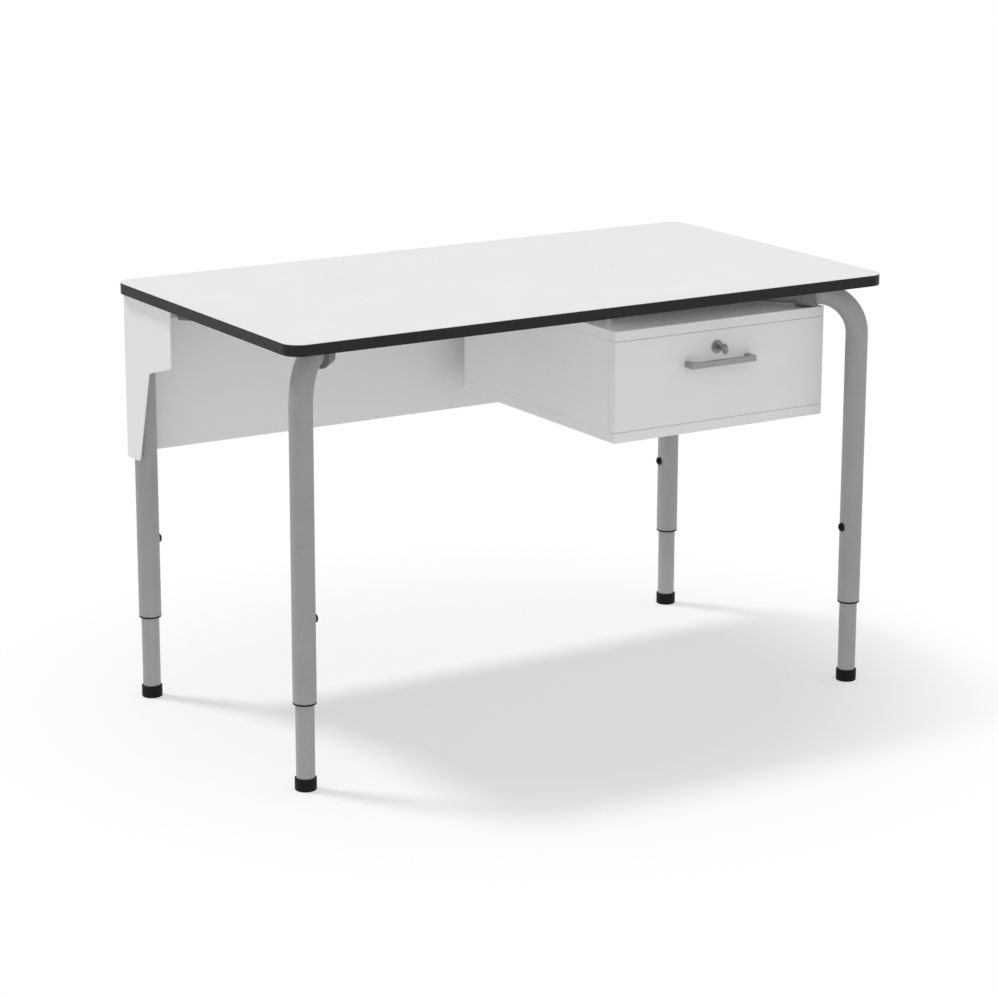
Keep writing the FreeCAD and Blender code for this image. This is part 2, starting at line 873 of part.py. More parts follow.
# ---------------------------------------------------------------------------
# Telescopic legs: guide sleeves, clamp screws, inner tubes, feet
# ---------------------------------------------------------------------------
def build_clamps():
    """Plastic sleeves in the outer tubes, and a screw through a boss to lock each inner tube."""
    sleeve_outer = "tube_radius - tube_wall - fit"
    sleeve_inner = "inner_radius + running"
    sleeve = turned("sleeve", [
        (sleeve_inner, "outer_tube_end - sleeve_flange"),
        ("tube_radius", "outer_tube_end - sleeve_flange"),
        ("tube_radius", "outer_tube_end"),
        (sleeve_outer, "outer_tube_end"),
        (sleeve_outer, "sleeve_top"),
        (sleeve_inner, "sleeve_top"),
    ])
    window_radius = "clamp_shank + clamp_window_gap"
    window = rod("window", window_radius, "tube_radius", ("0", "0", "clamp_height"), "+x")
    spots = [
        (signed(right, "leg_x"), signed(back, "leg_y"), "0", 180 if right > 0 else 0)
        for right, back in LEGS.values()
    ]
    node(spread("sleeves", cut("holed_sleeve", sleeve, [window]), spots), "leg_guide_sleeves")

    boss_end = "tube_radius + boss_stand_out"
    clamp_spots = [
        (signed(right, "leg_x"), signed(back, "leg_y"), "clamp_height", "-x" if right > 0 else "+x")
        for right, back in LEGS.values()
    ]
    boss = tube("boss", "boss_radius", "clamp_shank + fit", "tube_radius - tube_wall", boss_end)
    node(spread("bosses", boss, clamp_spots), "leg_clamp_bosses")

    head_end = f"{boss_end} + clamp_head_height"
    dome_low = f"{head_end} - clamp_dome"
    dome_start = ("clamp_head", dome_low, "clamp_head - clamp_dome", dome_low, True)
    screw_body = turned("clamp_screw", [
        ("0", "inner_radius + clamp_tip_gap"),
        ("clamp_shank", "inner_radius + clamp_tip_gap"),
        ("clamp_shank", boss_end),
        ("clamp_head", boss_end),
        dome_start,
        ("clamp_head - clamp_dome", head_end),
        ("0", head_end),
    ])
    socket = draw_outline(sketch_on(screw_body, "XY_Plane", head_end), hexagon("clamp_socket"))
    pocket(screw_body, socket, "clamp_socket_depth")
    node(spread("clamp_screw_set", screw_body, clamp_spots), "leg_clamp_screws")
    return round_space("boss_hole", "boss_radius + fit", "tube_radius / 2", "2 * tube_radius")


def build_inner_legs():
    bore = "inner_radius - inner_wall"
    for name, (right, back) in LEGS.items():
        spot = (signed(right, "leg_x"), signed(back, "leg_y"), "0")
        leg = tube("inner_" + name, "inner_radius", bore, "foot_base", "inner_top")
        node(place(leg, spot), "inner_leg_" + name)
        cap = turned("cap_" + name, [
            ("0", "0"),
            ("foot_radius - foot_edge", "0", "foot_radius - foot_edge", "foot_edge", True),
            ("foot_radius", "foot_edge"),
            ("foot_radius", "foot_height - foot_chamfer"),
            ("foot_radius - foot_chamfer", "foot_height"),
            ("inner_radius + fit", "foot_height"),
            ("inner_radius + fit", "foot_base"),
            (f"{bore} - fit", "foot_base"),
            (f"{bore} - fit", "foot_plug_top"),
            ("foot_plug_bore", "foot_plug_top"),
            ("foot_plug_bore", "foot_base"),
            ("0", "foot_base"),
        ])
        node(place(cap, spot), "foot_cap_" + name)


# ---------------------------------------------------------------------------
# Modesty panel
# ---------------------------------------------------------------------------
def build_modesty_panel():
    """One folded sheet: a back, a wing at each end, and flanges screwed to the desktop."""
    end, back, bend = "panel_end", "panel_back", "sheet_bend"
    inner_end, inner_back = f"({end} - sheet)", f"({back} - sheet)"
    front = f"{back} - wing_depth"
    turn_x, turn_y = f"({end} - {bend})", f"({back} - {bend})"
    panel = new_body("folded_panel")
    plan = [
        (f"-{end}", front),
        (f"-{inner_end}", front),
        (f"-{inner_end}", turn_y, f"-{turn_x}", turn_y, False),
        (f"-{turn_x}", inner_back),
        (turn_x, inner_back, turn_x, turn_y, False),
        (inner_end, turn_y),
        (inner_end, front),
        (end, front),
        (end, turn_y, turn_x, turn_y, True),
        (turn_x, back),
        (f"-{turn_x}", back, f"-{turn_x}", turn_y, True),
        (f"-{end}", turn_y),
    ]
    outline = draw_outline(sketch_on(panel, "XY_Plane", "wing_bottom"), plan)
    pad(panel, outline, "underside - wing_bottom")

    corner = (front, "underside - wing_front_drop")
    notch = (f"{back} - wing_notch_depth", "underside - wing_notch_drop")
    tip = (f"{back} - wing_tip_depth", "wing_bottom")
    beyond, below = f"{front} - overcut", "wing_bottom - overcut"
    away = [(beyond, corner[1]), corner, notch, tip, (tip[0], below), (beyond, below)]
    pocket(
        panel,
        draw_outline(sketch_on(panel, "YZ_Plane", "-half_length"), away),
        "desk_length",
        reverse=True,
    )

    corners = [(number(y), number(z)) for y, z in (corner, notch, tip)]
    thickness = number("sheet")

    def crosses_at_corner(edge):
        """Picks the short edges that cross the sheet at the corners of the wing's outline."""
        size, middle = edge.BoundBox, edge.CenterOfMass
        along_x = size.YLength < TINY and size.ZLength < TINY and size.XLength < thickness + TINY
        return along_x and any(math.hypot(middle.y - y, middle.z - z) < TINY for y, z in corners)

    round_edges(panel, "wing_corner", crosses_at_corner)
    raised_back = draw_outline(
        sketch_on(panel, "XY_Plane", "panel_bottom"),
        rectangle(f"-{turn_x}", turn_y, turn_x, f"{back} + overcut"),
    )
    pocket(panel, raised_back, "panel_bottom - wing_bottom")
    flange = draw_outline(
        sketch_on(panel, "XY_Plane", "underside - sheet"),
        rectangle(f"-{turn_x}", f"{inner_back} - flange_width", turn_x, f"{inner_back} + sheet / 2"),
    )
    pad(panel, flange, "sheet")
    for side in (-1, 1):
        outer = f"{side} * ({inner_end} + sheet / 2)"
        inner = f"{side} * ({inner_end} - wing_flange_width)"
        left, right = (outer, inner) if side < 0 else (inner, outer)
        low = f"{front} + wing_flange_gap"
        high = f"{low} + wing_flange_length"
        wing_flange = draw_outline(
            sketch_on(panel, "XY_Plane", "underside - sheet"), rectangle(left, low, right, high)
        )
        pad(panel, wing_flange, "sheet")
    holes = spread("panel_screw_holes", pan_space, FLANGE_SCREWS + WING_SCREWS)
    node(cut("drilled_panel", panel, [holes]), "modesty_panel")
    node(spread("panel_screw_set", pan_screw, FLANGE_SCREWS + WING_SCREWS), "modesty_panel_screws")


# ---------------------------------------------------------------------------
# Drawer cabinet
# ---------------------------------------------------------------------------
def build_cabinet():
    """Four boards round a grooved back, hung on bolts and spacer sleeves below the desktop."""
    back_size = (
        "cabinet_width - 2 * board + 2 * groove",
        "back_board",
        "cabinet_height - 2 * board + 2 * groove",
    )
    back_y = "cabinet_back_face - back_inset - back_board"
    back_at = ("inside_left - groove", back_y, "cabinet_floor - groove")
    back = box(
        "back",
        [f"{start} + fit" for start in back_at],
        [f"{size} - 2 * fit" for size in back_size],
    )
    node(back, "cabinet_back")
    back_groove = box("back_groove", back_at, back_size)
    joints = spread("confirmat_holes", confirmat_space, CONFIRMATS)
    bolt_spots = [(x, y, "ceiling", "+z") for x, y in HANGERS]
    bolt_holes = spread("bolt_holes", bolt_space, bolt_spots)
    strike_holes = spread("strike_holes", small_space, STRIKE_SCREWS)
    level_size = ("cabinet_width", "cabinet_depth", "board")
    top = board("top_board", ("cabinet_left", "cabinet_front", "ceiling"), level_size)
    node(cut("drilled_top", top, [back_groove, joints, bolt_holes, strike_holes]), "cabinet_top")
    bottom = board(
        "bottom_board", ("cabinet_left", "cabinet_front", "cabinet_bottom_face"), level_size
    )
    node(cut("drilled_bottom", bottom, [back_groove, joints]), "cabinet_bottom")
    side_size = ("board", "cabinet_depth - board - side_gap", "cabinet_height - 2 * board")
    runner_holes = spread("runner_holes", small_space, RUNNER_SCREWS)
    for label, x in (("left", "cabinet_left"), ("right", "inside_right")):
        side = board("side_" + label, (x, "front_inner + side_gap", "cabinet_floor"), side_size)
        drilled = cut("drilled_side_" + label, side, [back_groove, joints, runner_holes])
        node(drilled, "cabinet_side_" + label)
    node(spread("confirmat_set", confirmat, CONFIRMATS), "cabinet_confirmat_screws")
    sleeve_bore = "bolt_shank + hanger_sleeve_gap"
    sleeve = tube("hanger_sleeve", "hanger_sleeve_radius", sleeve_bore, "0", "cabinet_drop")
    sleeve_spots = [(x, y, "cabinet_top_face", "+z") for x, y in HANGERS]
    node(spread("hanger_sleeves", sleeve, sleeve_spots), "cabinet_hanger_sleeves")
    node(spread("hanger_bolts", bolt, bolt_spots), "cabinet_hanger_bolts")


def stud(name, wall_x, side, y, z, roller_x):
    """A riveted stud with a shoulder and a head, which holds a roller. Side is +1 towards +X."""
    way = "+x" if side > 0 else "-x"
    shoulder_end = f"({roller_x} - {side} * stud_play)"
    head_start = f"({roller_x} + {side} * (roller_width - recess_depth + stud_play))"
    return [
        rod(name, "stud_head_radius", f"{side} * ({shoulder_end} - ({wall_x}))", (wall_x, y, z), way),
        rod(name, "stud_radius", f"{side} * ({head_start} - ({wall_x}))", (wall_x, y, z), way),
        rod(name, "stud_head_radius", "stud_head", (head_start, y, z), way),
    ]


def build_cabinet_runners():
    """C-shaped channels on the cabinet's sides, each with a roller near its front end."""
    channel = new_body("channel")
    metal, reach, high = "runner_metal", "runner_flange", "runner_height"
    profile = [
        ("0", "0"),
        (reach, "0"),
        (reach, metal),
        (metal, metal),
        (metal, f"{high} - {metal}"),
        (reach, f"{high} - {metal}"),
        (reach, high),
        ("0", high),
    ]
    pad(channel, draw_outline(sketch_on(channel, "XZ_Plane"), profile), "runner_length")
    place(channel, ("inside_left", "runner_end", "runner_base"))
    axle = stud(
        "front_stud",
        "inside_left + runner_metal",
        1,
        "roller_y",
        "roller_axis",
        "inside_left + roller_offset",
    )
    holes = spread("channel_holes", small_space, RUNNER_SCREWS)
    left = fuse("left_channel", [channel] + axle)
    node(cut("left_channel_drilled", left, [holes]), "cabinet_runner_left")
    node(cut("right_channel_drilled", mirror("right_channel", left), [holes]), "cabinet_runner_right")
    node(
        spread("runner_screw_set", small_screw, RUNNER_SCREWS + STRIKE_SCREWS),
        "cabinet_runner_screws",
    )


def build_strike():
    """An angle under the cabinet's top board, which the lock's cam turns up behind."""
    face = "front_inner + strike_gap"
    plate = box(
        "strike_plate",
        ("lock_x - strike_width / 2", face, "ceiling - strike_drop"),
        ("strike_width", "strike", "strike_drop"),
    )
    foot = box(
        "strike_foot",
        ("lock_x - strike_width / 2", face, "ceiling - strike"),
        ("strike_width", "strike_foot", "strike"),
    )
    holes = spread("strike_screw_holes", small_space, STRIKE_SCREWS)
    node(cut("strike_drilled", fuse("strike_angle", [plate, foot]), [holes]), "lock_strike_plate")


# ---------------------------------------------------------------------------
# Drawer
# ---------------------------------------------------------------------------
def build_drawer():
    """A front board, two sides and a back with dowels, round a thin grooved bottom."""
    bottom_at = ("drawer_left + drawer_side - groove", "front_inner - groove", "drawer_floor")
    bottom_size = (
        "drawer_width - 2 * drawer_side + 2 * groove",
        "drawer_length + groove",
        "drawer_bottom",
    )
    groove_space = box("bottom_groove", bottom_at, bottom_size)
    panel = box(
        "bottom_panel",
        [f"{start} + fit" for start in bottom_at],
        [bottom_size[0] + " - 2 * fit", bottom_size[1] + " - fit", bottom_size[2] + " - fit"],
    )
    bottom_holes = spread("bottom_holes", small_space, BOTTOM_SCREWS)
    node(cut("drilled_bottom_panel", panel, [bottom_holes]), "drawer_bottom")

    dowel_space = round_space("dowel_hole", "dowel_radius + fit", "-fit", "dowel_length + fit")
    dowel_holes = spread("dowel_holes", dowel_space, DOWELS)
    lock_hole = rod(
        "lock_hole",
        "lock_radius + fit",
        "board + 2 * overcut",
        ("lock_x", "cabinet_front - overcut", "lock_height"),
        "+y",
    )
    pull_holes = spread("pull_holes", handle_screw_space, HANDLE_SCREWS)
    front = board(
        "front_board",
        ("cabinet_left", "cabinet_front", "cabinet_floor + front_gap"),
        ("cabinet_width", "board", "cabinet_height - 2 * board - 2 * front_gap"),
    )
    drilled_front = cut("drilled_front", front, [groove_space, dowel_holes, lock_hole, pull_holes])
    node(drilled_front, "drawer_front")

    rail_holes = spread("rail_holes", small_space, RAIL_SCREWS)
    left = board(
        "left_side",
        ("drawer_left", "front_inner", "drawer_base"),
        ("drawer_side", "drawer_length", "drawer_side_height"),
    )
    node(cut("drilled_left_side", left, [groove_space, dowel_holes, rail_holes]), "drawer_side_left")
    right = mirror("right_side", left)
    node(cut("drilled_right_side", right, [groove_space, dowel_holes, rail_holes]), "drawer_side_right")
    back = board(
        "back_wall",
        ("drawer_left + drawer_side", "drawer_rear - drawer_side", "drawer_floor + drawer_bottom"),
        (
            "drawer_width - 2 * drawer_side",
            "drawer_side",
            "drawer_side_height - drawer_bottom_lift - drawer_bottom",
        ),
    )
    node(cut("drilled_back_wall", back, [dowel_holes, bottom_holes]), "drawer_back")
    dowel = turned("dowel", [
        ("0", "0"),
        ("dowel_radius - dowel_chamfer", "0"),
        ("dowel_radius", "dowel_chamfer"),
        ("dowel_radius", "dowel_length - dowel_chamfer"),
        ("dowel_radius - dowel_chamfer", "dowel_length"),
        ("0", "dowel_length"),
    ])
    node(spread("dowel_set", dowel, DOWELS), "drawer_dowels")


def build_rails():
    """The drawer's own rails: a flange that rides on the front roller, and a roller at the rear."""
    rail = new_body("rail")
    outer, inner = "runner_room", "runner_room - runner_metal"
    low, high = "rail_flange_bottom", "rail_flange_bottom + runner_metal"
    profile = [
        (outer, "rail_web_bottom"),
        (outer, "rail_web_top"),
        (inner, "rail_web_top"),
        (inner, high),
        ("rail_reach", high),
        ("rail_reach", low),
        (inner, low),
        (inner, "rail_web_bottom"),
    ]
    pad(rail, draw_outline(sketch_on(rail, "XZ_Plane"), profile), "drawer_length")
    place(rail, ("inside_left", "drawer_rear", "runner_base"))
    axle = stud(
        "rear_stud",
        "drawer_left - runner_metal",
        -1,
        "rear_roller_y",
        "rear_roller_axis",
        "inside_left + roller_offset + roller_width",
    )
    holes = spread("rail_screw_holes", small_space, RAIL_SCREWS)
    left = fuse("left_rail", [rail] + axle)
    node(cut("left_rail_drilled", left, [holes]), "drawer_runner_left")
    node(cut("right_rail_drilled", mirror("right_rail", left), [holes]), "drawer_runner_right")
    node(spread("rail_screw_set", small_screw, RAIL_SCREWS + BOTTOM_SCREWS), "drawer_runner_screws")


def build_rollers():
    """Nylon rollers with a recess for the stud's head."""
    bore = "stud_radius + running"
    for where, radius, x, y, z, way in (
        ("front", "roller_radius", "inside_left + roller_offset", "roller_y", "roller_axis", "+x"),
        (
            "rear",
            "rear_roller_radius",
            "inside_left + roller_offset + roller_width",
            "rear_roller_y",
            "rear_roller_axis",
            "-x",
        ),
    ):
        wheel = turned(where + "_wheel", [
            (bore, "0"),
            (f"{radius} - roller_chamfer", "0"),
            (radius, "roller_chamfer"),
            (radius, "roller_width - roller_chamfer"),
            (f"{radius} - roller_chamfer", "roller_width"),
            ("recess_radius", "roller_width"),
            ("recess_radius", "roller_width - recess_depth"),
            (bore, "roller_width - recess_depth"),
        ])
        place(wheel, (x, y, z), TURN[way])
        node(wheel, f"{where}_roller_left")
        node(mirror(where + "_wheel_right", wheel), f"{where}_roller_right")


def build_handle():
    """A square bar bent into a wide U, screwed on from inside the drawer."""
    pull = new_body("pull")
    half, post, out = "pull_length / 2", "pull_section", "-pull_stand_out"
    plan = [
        (f"-{half}", "0"),
        (f"-{half}", out),
        (half, out),
        (half, "0"),
        (f"{half} - {post}", "0"),
        (f"{half} - {post}", f"{out} + pull_bar"),
        (f"-{half} + {post}", f"{out} + pull_bar"),
        (f"-{half} + {post}", "0"),
    ]
    pad(pull, draw_outline(sketch_on(pull, "XY_Plane", "-pull_section / 2"), plan), "pull_section")
    front = number(out)
    round_edges(
        pull,
        "pull_corner",
        lambda edge: edge.BoundBox.XLength < TINY and edge.BoundBox.YMax < front + TINY,
    )
    place(pull, ("pull_x", "cabinet_front", "pull_height"))
    holes = spread("handle_screw_holes", handle_screw_space, HANDLE_SCREWS)
    node(cut("tapped_pull", pull, [holes]), "handle")
    node(spread("handle_screw_set", handle_screw, HANDLE_SCREWS), "handle_screws")


# ---------------------------------------------------------------------------
# Cam lock. Its pieces share a frame: Z runs into the drawer from the front board's face.
# ---------------------------------------------------------------------------
def in_lock(thing):
    return place(thing, ("lock_x", "cabinet_front", "lock_height"), TURN["+y"])


def build_lock():
    bore = "plug_radius + running"
    plug_end = "lock_length + plug_reach"
    housing = turned("housing", [
        (bore, "-rosette"),
        ("rosette_radius - rosette_edge", "-rosette"),
        ("rosette_radius", "-rosette + rosette_edge"),
        ("rosette_radius", "0"),
        ("lock_radius", "0"),
        ("lock_radius", "lock_length"),
        (bore, "lock_length"),
    ])
    node(in_lock(housing), "lock_housing")

    nut = new_body("nut")
    nut_sketch = draw_outline(sketch_on(nut, "XY_Plane", "board"), hexagon("lock_nut_radius"))
    draw_circle(nut_sketch, "0", "0", "lock_radius + fit")
    pad(nut, nut_sketch, "lock_nut")
    node(in_lock(nut), "lock_nut")

    plug = turned("plug", [
        ("0", "-rosette - plug_proud"),
        ("plug_radius - plug_edge", "-rosette - plug_proud"),
        ("plug_radius", "-rosette - plug_proud + plug_edge"),
        ("plug_radius", plug_end),
        ("plug_stub_radius", plug_end),
        ("plug_stub_radius", f"{plug_end} + cam"),
        ("cam_screw_shank + fit", f"{plug_end} + cam"),
        ("cam_screw_shank + fit", f"{plug_end} - cam_screw_length"),
        ("0", f"{plug_end} - cam_screw_length"),
    ])
    slot_x, slot_y = "(key / 2 + keyway_gap)", "(key_blade + keyway_gap)"
    keyway = draw_outline(
        sketch_on(plug, "XY_Plane", "-rosette - plug_proud"),
        rectangle(f"-{slot_x}", f"-{slot_y}", slot_x, slot_y),
    )
    pocket(plug, keyway, "keyway_depth", reverse=True)
    node(in_lock(plug), "lock_plug")

    key = new_body("key")
    bow = sketch_on(key, "YZ_Plane", "-key / 2")
    draw_circle(bow, "0", "-key_bow_distance", "key_bow_radius")
    pad(key, bow, "key")
    tip = "keyway_depth - rosette - plug_proud - key_tip_gap"
    blade = draw_outline(
        sketch_on(key, "YZ_Plane", "-key / 2"),
        [
            ("-key_blade", "-key_bow_distance + key_bow_radius / 2"),
            ("key_blade", "-key_bow_distance + key_bow_radius / 2"),
        ]
        + [(f"key_blade - {depth}", f"{along}") for along, depth in KEY_CUTS]
        + [("0", tip), ("-key_blade", f"{tip} - key_tip_slope")],
    )
    pad(key, blade, "key")
    hole = sketch_on(key, "YZ_Plane", "-key / 2")
    draw_circle(hole, "0", "-key_hole_distance", "key_hole_radius")
    pocket(key, hole, "key", reverse=True)
    node(in_lock(key), "lock_key")

    cam = new_body("cam_plate")
    flat = draw_outline(sketch_on(cam, "XY_Plane", plug_end), [
        ("0", "-cam_radius"),
        ("cam_length", "-cam_tip"),
        ("cam_length", "cam_tip"),
        ("0", "cam_radius", "0", "0", True),
    ])
    draw_circle(flat, "0", "0", "plug_stub_radius + fit")
    pad(cam, flat, "cam")
    node(in_lock(cam), "lock_cam")
    screw_spot = ("lock_x", f"cabinet_front + {plug_end} + cam", "lock_height", "-y")
    node(spread("cam_screw_set", cam_screw, [screw_spot]), "lock_cam_screw")


def check_and_write():
    """Every object must be sound, and every piece a valid set of closed solids."""
    doc.recompute()
    for thing in doc.Objects:
        if "Invalid" in thing.State or "Error" in thing.State:
            raise RuntimeError(f"{thing.Label}: {thing.State}")
    os.makedirs("parts", exist_ok=True)
    for thing in NODES:
        shape = thing.Shape
        if shape.isNull() or not shape.isValid() or not shape.Solids:
            raise RuntimeError(f"{thing.Label} has no sound shape")
        if not all(solid.isClosed() for solid in shape.Solids):
            raise RuntimeError(f"{thing.Label} has an open solid")
        shape.exportStep(f"parts/{thing.Label}.step")


build_desktop()
build_bent_tubes(build_clamps())
build_beam()
build_saddles()
build_inner_legs()
build_modesty_panel()
build_cabinet()
build_cabinet_runners()
build_strike()
build_drawer()
build_rails()
build_rollers()
build_handle()
build_lock()
check_and_write()
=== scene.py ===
"""Looks of the teacher desk: finishes, weld beads, the key, and a white studio round it.

Metres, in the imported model's own frame: the origin is on the floor under the middle of the
desktop, +X is to the user's right, +Y points to the modesty panel and +Z is up.
"""
import json
import math

import bmesh
import bpy
from mathutils import Matrix, Vector


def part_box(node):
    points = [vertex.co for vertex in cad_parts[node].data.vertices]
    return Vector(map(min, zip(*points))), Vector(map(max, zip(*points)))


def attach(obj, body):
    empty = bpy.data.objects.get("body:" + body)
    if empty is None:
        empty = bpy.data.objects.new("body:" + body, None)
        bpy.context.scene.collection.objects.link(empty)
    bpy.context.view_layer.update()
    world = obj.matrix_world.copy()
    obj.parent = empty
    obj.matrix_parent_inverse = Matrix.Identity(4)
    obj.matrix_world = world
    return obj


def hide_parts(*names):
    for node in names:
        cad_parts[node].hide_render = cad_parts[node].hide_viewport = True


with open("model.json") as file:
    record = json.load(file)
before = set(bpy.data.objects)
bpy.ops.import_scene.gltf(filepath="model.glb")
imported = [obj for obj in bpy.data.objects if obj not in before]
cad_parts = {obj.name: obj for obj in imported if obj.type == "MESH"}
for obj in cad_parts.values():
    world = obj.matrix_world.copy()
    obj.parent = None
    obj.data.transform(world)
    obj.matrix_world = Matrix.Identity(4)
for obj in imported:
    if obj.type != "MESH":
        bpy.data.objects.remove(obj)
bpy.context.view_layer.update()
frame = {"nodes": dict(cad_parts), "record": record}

MM = 0.001
LEGS = ("front_left", "front_right", "rear_left", "rear_right")

CAMERA_PLACE = (-2.9144, -4.6556, 1.7984)
CAMERA_HEADING = 31.977
CAMERA_DIP = 14.722
CAMERA_ROLL = 0.153
CAMERA_LENS = 113.98
SUN_DIRECTION = (0.281, -0.376, -0.883)


# ---------------------------------------------------------------------------
# Shader building
# ---------------------------------------------------------------------------
class Finish:
    """A material whose patterns are laid out in the object's own coordinates, in metres."""

    def __init__(self, name, **surface):
        self.material = bpy.data.materials.new(name)
        self.material.use_nodes = True
        self.nodes = self.material.node_tree.nodes
        self.links = self.material.node_tree.links
        self.surface = self.nodes["Principled BSDF"]
        self.place = self.node("ShaderNodeTexCoord").outputs["Object"]
        self.normal = self.node("ShaderNodeNewGeometry").outputs["Normal"]
        self.set(**surface)

    def plug(self, target, value):
        if isinstance(value, bpy.types.NodeSocket):
            self.links.new(value, target)
        else:
            target.default_value = value

    def node(self, kind, inputs=None, **settings):
        made = self.nodes.new(kind)
        for key, value in settings.items():
            setattr(made, key, value)
        for key, value in (inputs or {}).items():
            self.plug(made.inputs[key], value)
        return made

    def set(self, **surface):
        """Feeds the surface shader. Names are its inputs with underscores for spaces."""
        for key, value in surface.items():
            self.plug(self.surface.inputs[key.replace("_", " ")], value)

    def math(self, operation, first, second=0.0, third=0.0):
        made = self.node("ShaderNodeMath", operation=operation)
        for target, value in zip(made.inputs, (first, second, third)):
            self.plug(target, value)
        return made.outputs[0]

    def lift(self, value, low, high, start=0.0, end=1.0):
        """Maps low..high smoothly to start..end, and holds the ends beyond."""
        inputs = {"Value": value, "From Min": low, "From Max": high, "To Min": start, "To Max": end}
        return self.node("ShaderNodeMapRange", inputs, interpolation_type="SMOOTHSTEP").outputs[0]

    def stretched(self, along_x, along_y, along_z):
        """Coordinates in which patterns are this many times longer along each axis."""
        scale = (1 / along_x, 1 / along_y, 1 / along_z)
        return self.node("ShaderNodeMapping", {"Vector": self.place, "Scale": scale}).outputs[0]

    def noise(self, size, detail=2.0, place=None):
        inputs = {"Vector": place or self.place, "Scale": 1 / size, "Detail": detail}
        return self.node("ShaderNodeTexNoise", inputs).outputs["Fac"]

    def cells(self, size, feature="F1", place=None):
        inputs = {"Vector": place or self.place, "Scale": 1 / size}
        return self.node("ShaderNodeTexVoronoi", inputs, feature=feature)

    def mix(self, share, first, second):
        """A colour between two colours."""
        made = self.node("ShaderNodeMix", data_type="RGBA")
        for index, value in ((0, share), (6, first), (7, second)):
            self.plug(made.inputs[index], value)
        return made.outputs[2]

    def soften(self, radius):
        """Rounds the shading of sharp edges, and returns a mask that is 1 on those edges."""
        rounded = self.node("ShaderNodeBevel", {"Radius": radius}, samples=4).outputs[0]
        agreement = self.node("ShaderNodeVectorMath", operation="DOT_PRODUCT")
        self.plug(agreement.inputs[0], rounded)
        self.plug(agreement.inputs[1], self.normal)
        self.normal = rounded
        return self.lift(agreement.outputs["Value"], 0.995, 0.80)

    def relief(self, height, depth):
        """Raises the surface by height, from 0 to 1, times a depth in metres."""
        inputs = {"Height": height, "Distance": depth, "Strength": 1.0, "Normal": self.normal}
        self.normal = self.node("ShaderNodeBump", inputs).outputs[0]

    def done(self):
        self.set(Normal=self.normal)
        return self.material


def grey(value, warmth=0.0):
    """A near-neutral colour. Positive warmth moves it towards yellow."""
    return (value * (1 + warmth), value, value * (1 - warmth), 1.0)


# ---------------------------------------------------------------------------
# Finishes
# ---------------------------------------------------------------------------
def powder_coat(name, dark, light, roughness, metallic=0.0, wear=0.35):
    """Sprayed and baked powder: orange peel, fine flake and slightly thin, bright edges."""
    finish = Finish(name, Metallic=metallic)
    edge = finish.soften(0.6 * MM)
    flake = finish.cells(0.55 * MM).outputs["Color"]
    sparkle = finish.lift(finish.node("ShaderNodeSeparateColor", {"Color": flake}).outputs[0], 0, 1)
    cloud = finish.noise(90 * MM, detail=3)
    tone = finish.math("ADD", finish.math("MULTIPLY", sparkle, 0.35), finish.math("MULTIPLY", cloud, 0.65))
    colour = finish.mix(finish.lift(tone, 0.2, 0.8), grey(dark), grey(light, 0.004))
    patch = finish.lift(finish.noise(6 * MM, detail=4), 0.45, 0.75, 0, wear)
    rub = finish.math("MULTIPLY", edge, patch)
    colour = finish.mix(rub, colour, grey(min(1.0, light * 1.35)))
    peel = finish.noise(1.9 * MM, detail=1)
    fine = finish.noise(0.45 * MM, detail=1)
    finish.relief(peel, 0.035 * MM)
    finish.relief(fine, 0.006 * MM)
    handling = finish.noise(38 * MM, detail=4)
    dullness = finish.lift(handling, 0.3, 0.7, roughness - 0.05, roughness + 0.07)
    finish.set(Base_Color=colour, Roughness=dullness)
    return finish.done()


def laminate(name, tone):
    """High-pressure laminate: a pearl grain, faint cloudiness and hairline rubs from use."""
    finish = Finish(name)
    edge = finish.soften(0.35 * MM)
    cloud = finish.noise(160 * MM, detail=3)
    colour = finish.mix(finish.lift(cloud, 0.3, 0.7), grey(tone * 0.985), grey(tone, 0.003))
    pearl = finish.cells(1.3 * MM, feature="SMOOTH_F1").outputs["Distance"]
    grain = finish.noise(0.5 * MM, detail=2)
    colour = finish.mix(finish.lift(grain, 0.62, 0.75, 0, 0.05), colour, grey(tone * 0.8))
    colour = finish.mix(finish.math("MULTIPLY", edge, 0.25), colour, grey(tone * 0.75, 0.02))
    finish.relief(pearl, 0.02 * MM)
    finish.relief(grain, 0.008 * MM)
    rubs = []
    for turn, length in ((0.35, 70), (-0.6, 45)):
        turned = finish.node("ShaderNodeVectorRotate", {"Vector": finish.place, "Angle": turn})
        scale = (1 / length, 1.0, 1.0)
        lines = finish.node("ShaderNodeMapping", {"Vector": turned.outputs[0], "Scale": scale}).outputs[0]
        rubs.append(finish.lift(finish.noise(1.1 * MM, detail=0, place=lines), 0.73, 0.78))
    hairlines = finish.math("MAXIMUM", *rubs)
    smudge = finish.lift(finish.noise(70 * MM, detail=5), 0.35, 0.7, 0.40, 0.45)
    dullness = finish.math("ADD", smudge, finish.math("MULTIPLY", hairlines, 0.12))
    finish.set(Base_Color=colour, Roughness=dullness)
    return finish.done()


